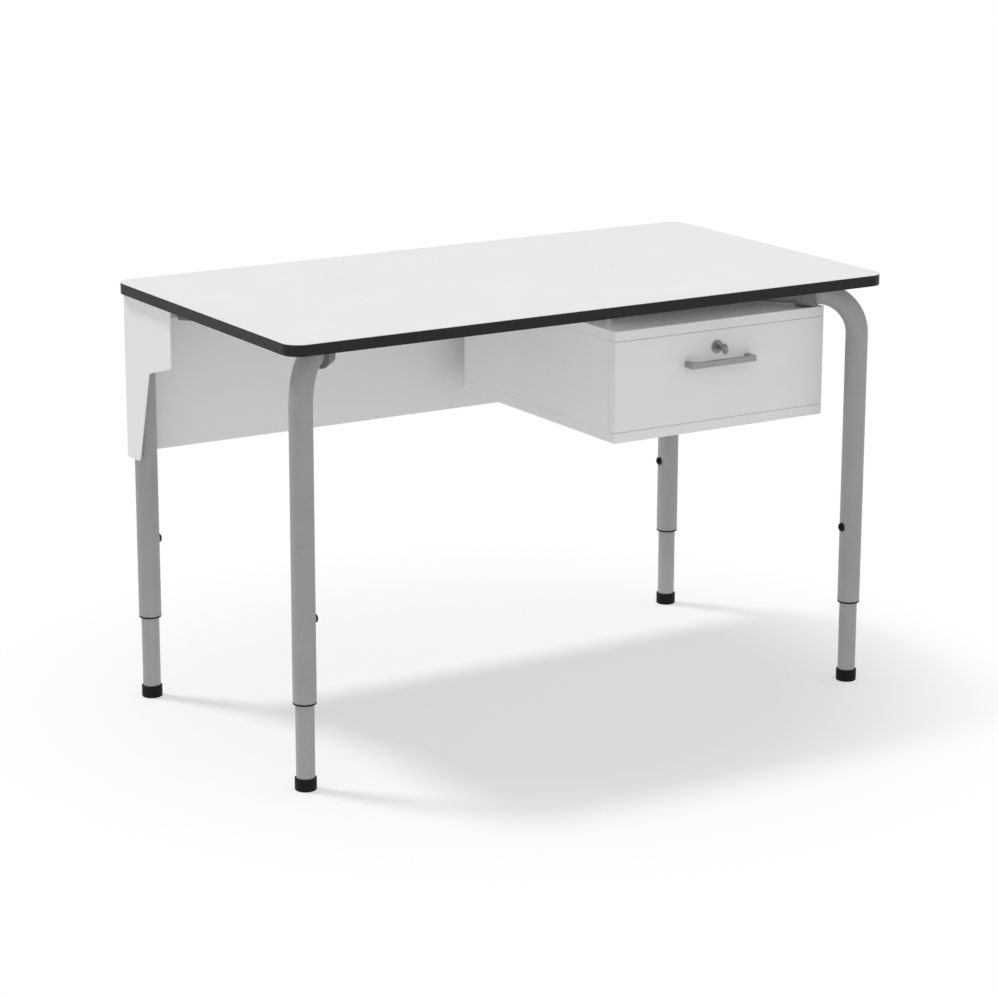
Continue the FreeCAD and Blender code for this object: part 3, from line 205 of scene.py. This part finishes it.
def edge_band():
    """Black ABS edging: fine grain, faint planer chatter across it, and a greyed lower arris."""
    finish = Finish("edge_black", Specular_IOR_Level=0.32)
    edge = finish.soften(0.5 * MM)
    grain = finish.noise(0.35 * MM, detail=2)
    streak = finish.noise(3 * MM, detail=3, place=finish.stretched(12, 12, 0.25))
    colour = finish.mix(finish.lift(streak, 0.3, 0.7), grey(0.006), grey(0.010))
    scuff = finish.lift(finish.noise(9 * MM, detail=5), 0.5, 0.75)
    worn = finish.math("MULTIPLY", edge, finish.lift(scuff, 0, 1, 0.2, 0.8))
    colour = finish.mix(worn, colour, grey(0.06))
    finish.relief(grain, 0.012 * MM)
    finish.relief(streak, 0.02 * MM)
    finish.set(Base_Color=colour, Roughness=finish.lift(scuff, 0, 1, 0.42, 0.56))
    return finish.done()


def moulded(name, dark, light, roughness, grain_size=0.5 * MM, shine=0.5):
    """Moulded plastic: spark-eroded grain, and edges greyed by handling."""
    finish = Finish(name, Specular_IOR_Level=shine)
    edge = finish.soften(0.5 * MM)
    grain = finish.cells(grain_size).outputs["Distance"]
    flow = finish.noise(14 * MM, detail=3)
    colour = finish.mix(finish.lift(flow, 0.3, 0.7), grey(dark), grey(light))
    dust = finish.math("MULTIPLY", edge, finish.lift(finish.noise(4 * MM, detail=4), 0.4, 0.7))
    colour = finish.mix(finish.math("MULTIPLY", dust, 0.6), colour, grey(min(0.9, light * 3 + 0.03), 0.02))
    finish.relief(grain, 0.03 * MM)
    finish.set(Base_Color=colour, Roughness=finish.lift(flow, 0.3, 0.7, roughness - 0.06, roughness + 0.08))
    return finish.done()


def plated(name, tone, roughness, tint=0.02, brush=(1, 1, 1), brushed=0.0):
    """Plated metal: faint tarnish, fine drawing lines along one axis, and bright rubbed edges."""
    finish = Finish(name, Metallic=1.0)
    edge = finish.soften(0.3 * MM)
    tarnish = finish.noise(7 * MM, detail=4)
    colour = finish.mix(finish.lift(tarnish, 0.3, 0.7), grey(tone * 0.9, tint), grey(tone, -tint))
    colour = finish.mix(finish.math("MULTIPLY", edge, 0.5), colour, grey(min(1.0, tone * 1.25)))
    lines = finish.noise(0.18 * MM, detail=2, place=finish.stretched(*brush))
    pits = finish.noise(0.8 * MM, detail=3)
    finish.relief(lines, brushed * MM)
    finish.relief(pits, 0.006 * MM)
    drawn = finish.math("MULTIPLY", lines, 0.08)
    dullness = finish.math("ADD", finish.lift(tarnish, 0.3, 0.7, 0, 0.1), drawn)
    finish.set(Base_Color=colour, Roughness=finish.math("ADD", dullness, roughness))
    return finish.done()


def turned_nickel():
    """Satin nickel on the lock's face: fine rings about the barrel's axis."""
    low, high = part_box("lock_plug")
    finish = Finish("lock_nickel", Metallic=1.0)
    edge = finish.soften(0.3 * MM)
    middle = (low + high) / 2
    offset = finish.node("ShaderNodeVectorMath", {0: finish.place, 1: middle}, operation="SUBTRACT")
    flat = {0: offset.outputs[0], 1: (1, 0, 1)}
    radial = finish.node("ShaderNodeVectorMath", flat, operation="MULTIPLY").outputs[0]
    radius = finish.node("ShaderNodeVectorMath", {0: radial}, operation="LENGTH").outputs["Value"]
    rings = finish.math("SINE", finish.math("MULTIPLY", radius, 2 * math.pi / (0.35 * MM)))
    tarnish = finish.noise(4 * MM, detail=4)
    colour = finish.mix(finish.lift(tarnish, 0.3, 0.7), grey(0.26, 0.02), grey(0.34, 0.01))
    colour = finish.mix(finish.math("MULTIPLY", edge, 0.6), colour, grey(0.60))
    finish.relief(rings, 0.004 * MM)
    finish.set(Base_Color=colour, Roughness=finish.lift(tarnish, 0.3, 0.7, 0.26, 0.38))
    return finish.done()


def chipboard(finish):
    """The colour of a sawn particle board: flakes of several woods in a darker binder."""
    flakes = finish.cells(2.6 * MM, place=finish.stretched(1.6, 1.0, 0.5))
    wood = finish.node("ShaderNodeSeparateColor", {"Color": flakes.outputs["Color"]}).outputs[0]
    colour = finish.mix(wood, (0.34, 0.22, 0.12, 1), (0.66, 0.50, 0.32, 1))
    binder = finish.lift(finish.noise(1.2 * MM, detail=4), 0.55, 0.7, 0, 0.5)
    return finish.mix(binder, colour, (0.20, 0.12, 0.06, 1))


def border_distances(finish, node):
    """Distances from a point to the nearer face of the node's box, for the thin axis and the others."""
    low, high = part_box(node)
    size = high - low
    parts = finish.node("ShaderNodeSeparateXYZ", {0: finish.place}).outputs
    near = []
    for axis in range(3):
        from_middle = finish.math("SUBTRACT", parts[axis], (low[axis] + high[axis]) / 2)
        near.append(finish.math("SUBTRACT", size[axis] / 2, finish.math("ABSOLUTE", from_middle)))
    thin = min(range(3), key=lambda axis: size[axis])
    others = [near[axis] for axis in range(3) if axis != thin]
    return near[thin], finish.math("MINIMUM", *others)


def melamine(node):
    """White melamine on particle board: glue lines round the edging, raw board in holes and grooves."""
    finish = Finish("melamine_" + node)
    through, border = border_distances(finish, node)
    edge = finish.soften(0.6 * MM)
    cloud = finish.noise(120 * MM, detail=3)
    colour = finish.mix(finish.lift(cloud, 0.3, 0.7), grey(0.835), grey(0.855, 0.003))
    grain = finish.noise(0.8 * MM, detail=3)
    colour = finish.mix(finish.lift(grain, 0.6, 0.75, 0, 0.06), colour, grey(0.66))
    colour = finish.mix(finish.math("MULTIPLY", edge, 0.2), colour, grey(0.68, 0.01))
    on_face = finish.math("LESS_THAN", through, 0.1 * MM)
    from_line = finish.math("ABSOLUTE", finish.math("SUBTRACT", border, 1.1 * MM))
    line = finish.math("MULTIPLY", on_face, finish.lift(from_line, 0.16 * MM, 0.04 * MM, 0, 0.45))
    colour = finish.mix(line, colour, grey(0.35, 0.06))
    inside = finish.lift(finish.math("MINIMUM", through, border), 0.25 * MM, 0.3 * MM)
    colour = finish.mix(inside, colour, chipboard(finish))
    finish.relief(grain, 0.012 * MM)
    finish.relief(finish.cells(2.2 * MM, feature="SMOOTH_F1").outputs["Distance"], 0.01 * MM)
    smudge = finish.lift(finish.noise(50 * MM, detail=5), 0.35, 0.7, 0.34, 0.46)
    dullness = finish.math("MAXIMUM", smudge, finish.math("MULTIPLY", inside, 0.9))
    finish.set(Base_Color=colour, Roughness=dullness)
    return finish.done()


def hardboard(node):
    """Thin hardboard with one painted face: brown fibre shows on its edges."""
    finish = Finish("hardboard_" + node)
    through, border = border_distances(finish, node)
    finish.soften(0.3 * MM)
    cloud = finish.noise(60 * MM, detail=4)
    paint = finish.mix(finish.lift(cloud, 0.3, 0.7), grey(0.74, 0.01), grey(0.79, 0.01))
    fibre = finish.noise(0.9 * MM, detail=4, place=finish.stretched(3, 3, 1))
    brown = finish.mix(fibre, (0.16, 0.09, 0.045, 1), (0.36, 0.22, 0.12, 1))
    raw = finish.lift(through, 0.03 * MM, 0.1 * MM)
    finish.relief(fibre, 0.03 * MM)
    finish.set(Base_Color=finish.mix(raw, paint, brown), Roughness=finish.lift(fibre, 0.3, 0.7, 0.45, 0.6))
    return finish.done()


def particle_core():
    finish = Finish("particle_core", Roughness=0.9)
    finish.set(Base_Color=chipboard(finish))
    finish.relief(finish.noise(1.4 * MM, detail=4), 0.15 * MM)
    return finish.done()


def beech():
    """Beech dowel: straight grain with short dark flecks."""
    finish = Finish("dowel_wood")
    grain = finish.noise(1.2 * MM, detail=4, place=finish.stretched(1, 14, 1))
    colour = finish.mix(grain, (0.48, 0.31, 0.17, 1), (0.72, 0.54, 0.34, 1))
    fleck = finish.lift(finish.noise(0.6 * MM, detail=1, place=finish.stretched(1, 5, 1)), 0.66, 0.72)
    finish.relief(grain, 0.05 * MM)
    finish.set(Base_Color=finish.mix(fleck, colour, (0.30, 0.17, 0.08, 1)), Roughness=0.6)
    return finish.done()


FINISHES = {
    "laminate_white": lambda node: laminate("laminate_white", 0.86),
    "backing_laminate": lambda node: laminate("backing_laminate", 0.78),
    "edge_black": lambda node: edge_band(),
    "particle_core": lambda node: particle_core(),
    "frame_grey": lambda node: powder_coat("frame_grey", 0.331, 0.395, 0.40, metallic=0.25),
    "inner_tube_grey": lambda node: powder_coat("inner_tube_grey", 0.345, 0.405, 0.38, metallic=0.25),
    # The saddles' dark grey is partly their own darker finish and partly painted shade, standing in for the
    # shade on their undersides below the desktop.
    "saddle_grey": lambda node: powder_coat("saddle_grey", 0.155, 0.200, 0.45, metallic=0.2),
    "panel_white": lambda node: powder_coat("panel_white", 0.835, 0.86, 0.42, wear=0.1),
    "runner_white": lambda node: powder_coat("runner_white", 0.80, 0.84, 0.35, wear=0.3),
    "black_plastic": lambda node: moulded("black_plastic", 0.005, 0.008, 0.50, shine=0.15),
    "roller_nylon": lambda node: moulded("roller_nylon", 0.78, 0.84, 0.38, 0.3 * MM),
    "clamp_black": lambda node: moulded("clamp_black", 0.003, 0.005, 0.40, 0.4 * MM, 0.12),
    "zinc_steel": lambda node: plated("zinc_steel", 0.66, 0.28, tint=0.025),
    "handle_metal": lambda node: plated("handle_metal", 0.42, 0.36, 0.01, (30, 1, 1), 0.006),
    "key_steel": lambda node: plated("key_steel", 0.42, 0.30, 0.015, (1, 12, 1), 0.004),
    "lock_nickel": lambda node: turned_nickel(),
    "dowel_wood": lambda node: beech(),
    "melamine_white": melamine,
    "hardboard_white": hardboard,
}
# Boards get a finish of their own, because it follows each board's edges.
OWN_FINISH = ("melamine_white", "hardboard_white")
made_finishes = {}


def finish_for(slot, node=""):
    key = (slot, node if slot in OWN_FINISH else "")
    if key not in made_finishes:
        made_finishes[key] = FINISHES[slot](node)
    return made_finishes[key]


def paint_nodes():
    for part in frame["record"]["subparts"]:
        mesh = frame["nodes"][part["node"]].data
        mesh.materials.clear()
        mesh.materials.append(finish_for(part["material_slot"], part["node"]))


# ---------------------------------------------------------------------------
# Pieces that the looks need beyond the CAD
# ---------------------------------------------------------------------------
def add_mesh(name, mesh, body, slot):
    """Puts a finished mesh into the scene as a piece that rides on a body."""
    piece = bpy.data.objects.new(name, mesh)
    bpy.context.scene.collection.objects.link(piece)
    piece.data.materials.clear()
    piece.data.materials.append(finish_for(slot))
    piece.data.shade_smooth()
    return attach(piece, body)


def swept(points, radii, outward, across):
    """A closed tube along points. Outward and across give each ring's two directions."""
    sides = 12
    shape = bmesh.new()
    rings = []
    for point, radius, out in zip(points, radii, outward):
        ring = []
        for side in range(sides):
            angle = 2 * math.pi * side / sides
            offset = out * math.cos(angle) + across * math.sin(angle)
            ring.append(shape.verts.new(point + offset * radius))
        rings.append(ring)
    for before, after in zip(rings, rings[1:]):
        for side in range(sides):
            following = (side + 1) % sides
            shape.faces.new((before[side], before[following], after[following], after[side]))
    shape.faces.new(rings[0][::-1])
    shape.faces.new(rings[-1])
    bmesh.ops.recalc_face_normals(shape, faces=shape.faces)
    mesh = bpy.data.meshes.new("swept")
    shape.to_mesh(mesh)
    shape.free()
    return mesh


def weld_bead(centre, radius, across):
    """A rippled fillet round an arm that meets a flat side at 45 degrees, open at the top."""
    start, turn = 124, 292
    bead = 2.4 * MM
    pitch = 2.3 * MM
    stand_off = 0.4 * MM
    lift = 0.9 * MM
    steps = 270
    points, radii, outward = [], [], []
    travelled = 0.0
    for step in range(steps + 1):
        share = step / steps
        angle = math.radians(start + turn * share)
        out = Vector((math.cos(angle), 0, math.sin(angle) * math.sqrt(2))).normalized()
        spot = Vector((radius * math.sqrt(2) * math.cos(angle), 0, radius * math.sin(angle)))
        point = centre + spot + out * stand_off + across * lift
        if points:
            travelled += (point - points[-1]).length
        ripple = 1 + 0.20 * abs(math.sin(math.pi * travelled / pitch))
        wander = 1 + 0.08 * math.sin(9 * angle) * math.cos(4 * angle)
        taper = min(1.0, 0.35 + 14 * min(share, 1 - share))
        points.append(point)
        radii.append(bead * ripple * wander * taper)
        outward.append(out)
    return swept(points, radii, outward, across)


def build_weld_beads():
    """A weld round each arm where it meets the side of the centre beam."""
    beam_low, beam_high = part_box("centre_beam")
    half_width = beam_high.y
    height = (beam_low.z + beam_high.z) / 2
    arm_radius = (beam_high.z - beam_low.z) / 2
    for leg in LEGS:
        foot_low, foot_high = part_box("foot_cap_" + leg)
        foot = (foot_low + foot_high) / 2
        side_x, side_y = math.copysign(1, foot.x), math.copysign(1, foot.y)
        centre = Vector((foot.x - side_x * (abs(foot.y) - half_width), side_y * half_width, height))
        mesh = weld_bead(centre, arm_radius, Vector((0, side_y, 0)))
        add_mesh("weld_bead_" + leg, mesh, "frame", "frame_grey")


def circle_points(centre, radius, start, end, count):
    angles = [start + (end - start) * step / count for step in range(count + 1)]
    return [(centre[0] + radius * math.cos(a), centre[1] + radius * math.sin(a)) for a in angles]


def closed_circle(centre, radius, count):
    return circle_points(centre, radius, 0, 2 * math.pi, count)[:-1]


def plate(name, outlines, thickness, rounding):
    """A flat plate with holes, lying in XY about Z = 0, its edges rounded."""
    curve = bpy.data.curves.new(name, "CURVE")
    curve.dimensions = "2D"
    curve.fill_mode = "BOTH"
    curve.extrude = thickness / 2 - rounding
    curve.bevel_depth = rounding
    curve.bevel_resolution = 2
    curve.offset = -rounding
    for outline in outlines:
        spline = curve.splines.new("POLY")
        spline.points.add(len(outline) - 1)
        for point, (x, y) in zip(spline.points, outline):
            point.co = (x, y, 0, 1)
        spline.use_cyclic_u = True
    holder = bpy.data.objects.new(name, curve)
    mesh = bpy.data.meshes.new_from_object(holder)
    bpy.data.objects.remove(holder)
    return mesh


def build_key():
    """The drawer key: a round bow with a raised rim and a ring hole, and a blade with cuts."""
    low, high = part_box("lock_key")
    thickness = high.x - low.x
    bow = (high.z - low.z) / 2
    tip = high.y - low.y - bow
    half_blade = 4 * MM
    point_length = 3 * MM
    hole_radius = 2.6 * MM
    hole_offset = -3.8 * MM
    rim_inset = 1.25 * MM
    # Each cut is a share of the length from the bow's centre to the tip, and a depth in mm.
    cuts = [(0.72, 0), (0.77, 1.5), (0.81, 0), (0.87, 2.5), (0.91, 1.0), (0.97, 2.2)]
    join = math.asin(half_blade / bow)
    outline = circle_points((0, 0), bow, join, 2 * math.pi - join, 48)
    outline += [(tip * 0.55, -half_blade), (tip - point_length, -half_blade), (tip, -half_blade * 0.3)]
    outline += [(tip * share, half_blade - depth * MM) for share, depth in reversed(cuts)]
    hole = closed_circle((hole_offset, 0), hole_radius, 24)
    blank = plate("key_blank", [outline, hole], thickness * 0.78, 0.25 * MM)
    shape = bmesh.new()
    shape.from_mesh(blank)
    rim_points = [Vector((x, y, 0)) for x, y in closed_circle((0, 0), bow - rim_inset, 64)]
    rim_outward = [point.normalized() for point in rim_points]
    rim = swept(rim_points, [thickness / 2] * len(rim_points), rim_outward, Vector((0, 0, 1)))
    shape.from_mesh(rim)
    upright = Matrix(((0, 0, 1, 0), (1, 0, 0, 0), (0, 1, 0, 0), (0, 0, 0, 1)))
    centre = Vector(((low.x + high.x) / 2, low.y + bow, (low.z + high.z) / 2))
    bmesh.ops.transform(shape, matrix=Matrix.Translation(centre) @ upright, verts=shape.verts)
    mesh = bpy.data.meshes.new("drawer_key")
    shape.to_mesh(mesh)
    shape.free()
    key = add_mesh("drawer_key", mesh, "lock_barrel", "key_steel")
    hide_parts("lock_key")


# ---------------------------------------------------------------------------
# Studio: floor, light and camera
# ---------------------------------------------------------------------------
def build_floor():
    """A pale floor that takes soft shadows near the desk and fades to plain white."""
    shape = bmesh.new()
    bmesh.ops.create_grid(shape, x_segments=1, y_segments=1, size=60)
    mesh = bpy.data.meshes.new("floor")
    shape.to_mesh(mesh)
    shape.free()
    floor = bpy.data.objects.new("floor", mesh)
    bpy.context.scene.collection.objects.link(floor)
    floor.location.z = -0.2 * MM

    finish = Finish("floor", Roughness=0.9)
    finish.set(Base_Color=finish.mix(finish.noise(0.4, detail=4), grey(0.459), grey(0.476)))
    seen = finish.node("ShaderNodeLightPath").outputs["Is Camera Ray"]
    near_glow = finish.lift(seen, 0, 1, 0.395, 0.42)
    far_glow = finish.lift(seen, 0, 1, 0.80, 1.0)
    glow = finish.node("ShaderNodeEmission", {"Color": grey(1.0), "Strength": near_glow})
    white = finish.node("ShaderNodeEmission", {"Color": grey(1.0), "Strength": far_glow})
    lit = finish.node("ShaderNodeAddShader")
    finish.plug(lit.inputs[0], finish.surface.outputs[0])
    finish.plug(lit.inputs[1], glow.outputs[0])
    distance = finish.node("ShaderNodeVectorMath", {0: finish.place}, operation="LENGTH").outputs["Value"]
    fade = finish.node("ShaderNodeMixShader", {0: finish.lift(distance, 0.45, 1.05)})
    finish.plug(fade.inputs[1], lit.outputs[0])
    finish.plug(fade.inputs[2], white.outputs[0])
    from_below = finish.node("ShaderNodeNewGeometry").outputs["Backfacing"]
    clear = finish.node("ShaderNodeBsdfTransparent")
    one_sided = finish.node("ShaderNodeMixShader", {0: from_below})
    finish.plug(one_sided.inputs[1], fade.outputs[0])
    finish.plug(one_sided.inputs[2], clear.outputs[0])
    finish.plug(finish.nodes["Material Output"].inputs["Surface"], one_sided.outputs[0])
    floor.data.materials.append(finish.material)


def build_world():
    """Even white light from all round, a little stronger from above, the left and the front."""
    world = bpy.data.worlds.new("studio")
    bpy.context.scene.world = world
    world.use_nodes = True
    nodes, links = world.node_tree.nodes, world.node_tree.links
    background = nodes["Background"]
    direction = nodes.new("ShaderNodeTexCoord").outputs["Generated"]
    split = nodes.new("ShaderNodeSeparateXYZ")
    links.new(direction, split.inputs[0])

    def scaled(value, factor, offset):
        made = nodes.new("ShaderNodeMath")
        made.operation = "MULTIPLY_ADD"
        links.new(value, made.inputs[0])
        made.inputs[1].default_value = factor
        if isinstance(offset, bpy.types.NodeSocket):
            links.new(offset, made.inputs[2])
        else:
            made.inputs[2].default_value = offset
        return made.outputs[0]

    upward = scaled(split.outputs["Z"], 0.04, 0.555)
    leftward = scaled(split.outputs["X"], -0.04, upward)
    forward = scaled(split.outputs["Y"], -0.19, leftward)
    seen = nodes.new("ShaderNodeLightPath").outputs["Is Camera Ray"]
    strength = nodes.new("ShaderNodeMix")
    links.new(seen, strength.inputs[0])
    links.new(forward, strength.inputs[2])
    strength.inputs[3].default_value = 1.0
    background.inputs["Color"].default_value = grey(1.0)
    links.new(strength.outputs[0], background.inputs["Strength"])


def build_key_light():
    """One soft light from above, behind and to the left of the desk."""
    light = bpy.data.lights.new("key_light", "SUN")
    light.angle = math.radians(10)
    light.energy = 1.75
    holder = bpy.data.objects.new("key_light", light)
    bpy.context.scene.collection.objects.link(holder)
    holder.rotation_euler = Vector(SUN_DIRECTION).to_track_quat("-Z", "Y").to_euler()


def build_camera():
    """A long lens from the front left, a little above the desktop."""
    camera = bpy.data.objects.new("camera", bpy.data.cameras.new("camera"))
    bpy.context.scene.collection.objects.link(camera)
    camera.data.sensor_width = 36
    camera.data.lens = CAMERA_LENS
    camera.data.clip_end = 200
    camera.matrix_world = (
        Matrix.Translation(CAMERA_PLACE)
        @ Matrix.Rotation(-math.radians(CAMERA_HEADING), 4, "Z")
        @ Matrix.Rotation(math.pi / 2 - math.radians(CAMERA_DIP), 4, "X")
        @ Matrix.Rotation(math.radians(CAMERA_ROLL), 4, "Z")
    )
    bpy.context.scene.camera = camera


paint_nodes()
build_weld_beads()
build_key()
build_floor()
build_world()
build_key_light()
build_camera()
bpy.context.scene.view_settings.view_transform = "Standard"
